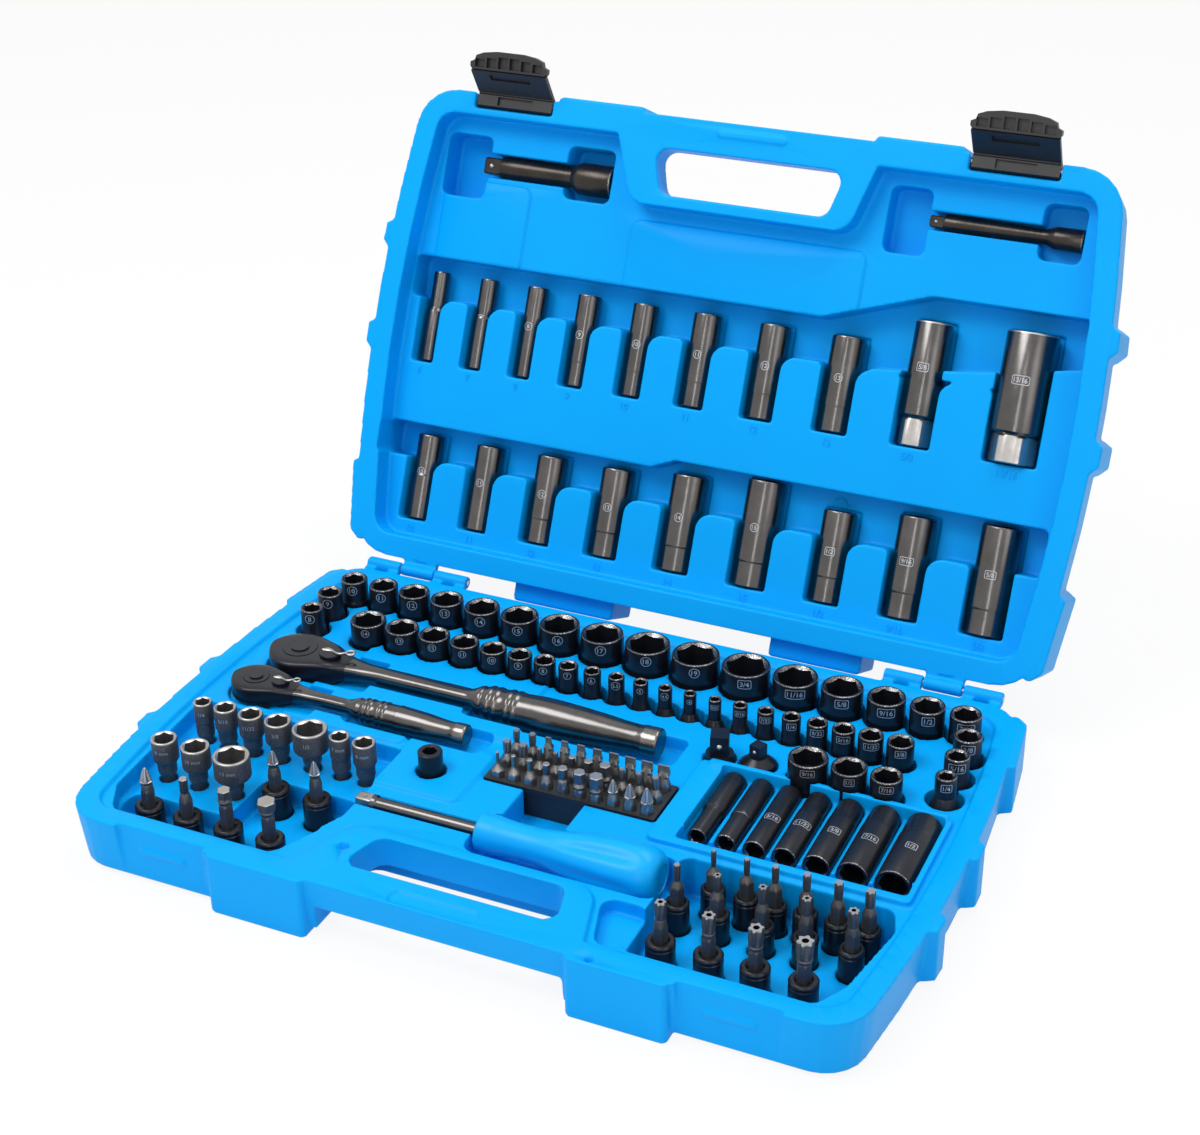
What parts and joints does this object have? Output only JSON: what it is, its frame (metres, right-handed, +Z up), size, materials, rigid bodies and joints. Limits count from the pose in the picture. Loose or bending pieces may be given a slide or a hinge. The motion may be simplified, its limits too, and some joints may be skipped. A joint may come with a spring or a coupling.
{
  "type": "socket wrench set in a hinged case",
  "caption": "Blow-moulded tool case with a hinged lid, two latches, ratchets, sockets, bits, extension bars and a screwdriver in their pockets.",
  "frame": {"origin": "centre of the base's underside, midway between the hinge axis and the front face", "axes": "+Z up, +Y towards the hinge and the open lid, +X to the right as seen from the front"},
  "size_m": [0.435, 0.4356, 0.3115],
  "materials": {
    "case_blue": "satin",
    "black_plastic": "satin",
    "grip_blue": "satin",
    "black_oxide": "gloss",
    "gunmetal": "gloss",
    "phosphate": "satin",
    "bright_steel": "satin",
    "zinc_steel": "satin",
    "insert_rubber": "matte"
  },
  "bodies": {
    "base": {"base_case": "case_blue", "hinge_pin_left": "zinc_steel", "hinge_pin_right": "zinc_steel", "sockets_large_metric": "black_oxide", "sockets_large_inch": "black_oxide", "sockets_small_metric": "black_oxide", "sockets_small_inch": "black_oxide", "deep_sockets_tray": "black_oxide", "nutsetters": "phosphate", "bit_sockets_left": "black_oxide", "bit_tips_left": "bright_steel", "bit_sockets_right": "black_oxide", "bit_tips_right": "bright_steel"},
    "lid": {"lid_case": "case_blue", "latch_pin_left": "zinc_steel", "latch_pin_right": "zinc_steel", "deep_sockets_lid_small": "gunmetal", "deep_sockets_lid_metric": "gunmetal", "deep_sockets_lid_inch": "gunmetal", "spark_sockets": "gunmetal", "spark_inserts": "insert_rubber"},
    "left_latch": {"latch_left": "black_plastic"},
    "right_latch": {"latch_right": "black_plastic"},
    "large_ratchet": {"ratchet_large_body": "gunmetal", "ratchet_large_pawl": "bright_steel", "ratchet_large_cover": "black_oxide", "ratchet_large_screws": "bright_steel"},
    "large_drive": {"ratchet_large_drive": "black_oxide", "ratchet_large_ball": "bright_steel"},
    "large_button": {"ratchet_large_button": "black_oxide"},
    "large_lever": {"ratchet_large_lever": "bright_steel"},
    "small_ratchet": {"ratchet_small_body": "gunmetal", "ratchet_small_pawl": "bright_steel", "ratchet_small_cover": "black_oxide", "ratchet_small_screws": "bright_steel"},
    "small_drive": {"ratchet_small_drive": "black_oxide", "ratchet_small_ball": "bright_steel"},
    "small_button": {"ratchet_small_button": "black_oxide"},
    "small_lever": {"ratchet_small_lever": "bright_steel"},
    "screwdriver": {"driver_grip": "grip_blue", "driver_shaft": "bright_steel", "driver_end_socket": "black_oxide"},
    "large_bar": {"extension_large": "black_oxide", "extension_large_ball": "bright_steel"},
    "small_bar": {"extension_small": "black_oxide", "extension_small_ball": "bright_steel"},
    "upward_adaptor": {"adaptor_up": "black_oxide", "adaptor_up_ball": "bright_steel"},
    "downward_adaptor": {"adaptor_down": "black_oxide", "adaptor_down_ball": "bright_steel"},
    "coupler": {"bit_coupler": "black_oxide"},
    "rail": {"bit_rail": "black_plastic", "bits_slotted": "bright_steel", "bits_torx": "bright_steel", "bits_hex": "bright_steel", "bits_phillips": "bright_steel"}
  },
  "joints": [
    {"name": "lid_hinge", "type": "hinge", "parent": "base", "child": "lid", "pos_m": [0, 0.1395, 0.033], "axis": [-1, 0, 0], "range_deg": [-115, 0]},
    {"name": "left_latch_hinge", "type": "hinge", "parent": "lid", "child": "left_latch", "pos_m": [-0.146, 0.26034, 0.2803], "axis": [-1, 0, 0], "range_deg": [-35, 60]},
    {"name": "right_latch_hinge", "type": "hinge", "parent": "lid", "child": "right_latch", "pos_m": [0.146, 0.26034, 0.2803], "axis": [-1, 0, 0], "range_deg": [-35, 60]},
    {"name": "large_ratchet_lift", "type": "slide", "parent": "base", "child": "large_ratchet", "axis": [0, 0, 1], "range_m": [0, 0.05]},
    {"name": "large_drive_turn", "type": "hinge", "parent": "large_ratchet", "child": "large_drive", "pos_m": [-0.17, 0.0289, 0.0405], "axis": [0, 0, 1], "continuous": true},
    {"name": "large_lever_turn", "type": "hinge", "parent": "large_ratchet", "child": "large_lever", "pos_m": [-0.15096, 0.0289, 0.0405], "axis": [0, 0, 1], "range_deg": [-60, 0]},
    {"name": "large_button_push", "type": "slide", "parent": "large_drive", "child": "large_button", "axis": [0, 0, -1], "range_m": [0, 0.0015], "stiffness_N_per_m": 800, "springref_m": -0.002},
    {"name": "small_ratchet_lift", "type": "slide", "parent": "base", "child": "small_ratchet", "axis": [0, 0, 1], "range_m": [0, 0.05]},
    {"name": "small_drive_turn", "type": "hinge", "parent": "small_ratchet", "child": "small_drive", "pos_m": [-0.1766, -0.0044, 0.0395], "axis": [0, 0, 1], "continuous": true},
    {"name": "small_lever_turn", "type": "hinge", "parent": "small_ratchet", "child": "small_lever", "pos_m": [-0.16148, -0.0044, 0.0395], "axis": [0, 0, 1], "range_deg": [-60, 0]},
    {"name": "small_button_push", "type": "slide", "parent": "small_drive", "child": "small_button", "axis": [0, 0, -1], "range_m": [0, 0.0015], "stiffness_N_per_m": 800, "springref_m": -0.002},
    {"name": "screwdriver_lift", "type": "slide", "parent": "base", "child": "screwdriver", "axis": [0, 0, 1], "range_m": [0, 0.05]},
    {"name": "rail_lift", "type": "slide", "parent": "base", "child": "rail", "axis": [0, 0, 1], "range_m": [0, 0.05]},
    {"name": "coupler_lift", "type": "slide", "parent": "base", "child": "coupler", "axis": [0, 0, 1], "range_m": [0, 0.05]},
    {"name": "upward_adaptor_lift", "type": "slide", "parent": "base", "child": "upward_adaptor", "axis": [0, 0, 1], "range_m": [0, 0.05]},
    {"name": "downward_adaptor_lift", "type": "slide", "parent": "base", "child": "downward_adaptor", "axis": [0, 0, 1], "range_m": [0, 0.05]},
    {"name": "large_bar_lift", "type": "slide", "parent": "lid", "child": "large_bar", "axis": [0, -0.9063, 0.4226], "range_m": [0, 0.045]},
    {"name": "small_bar_lift", "type": "slide", "parent": "lid", "child": "small_bar", "axis": [0, -0.9063, 0.4226], "range_m": [0, 0.045]}
  ]
}
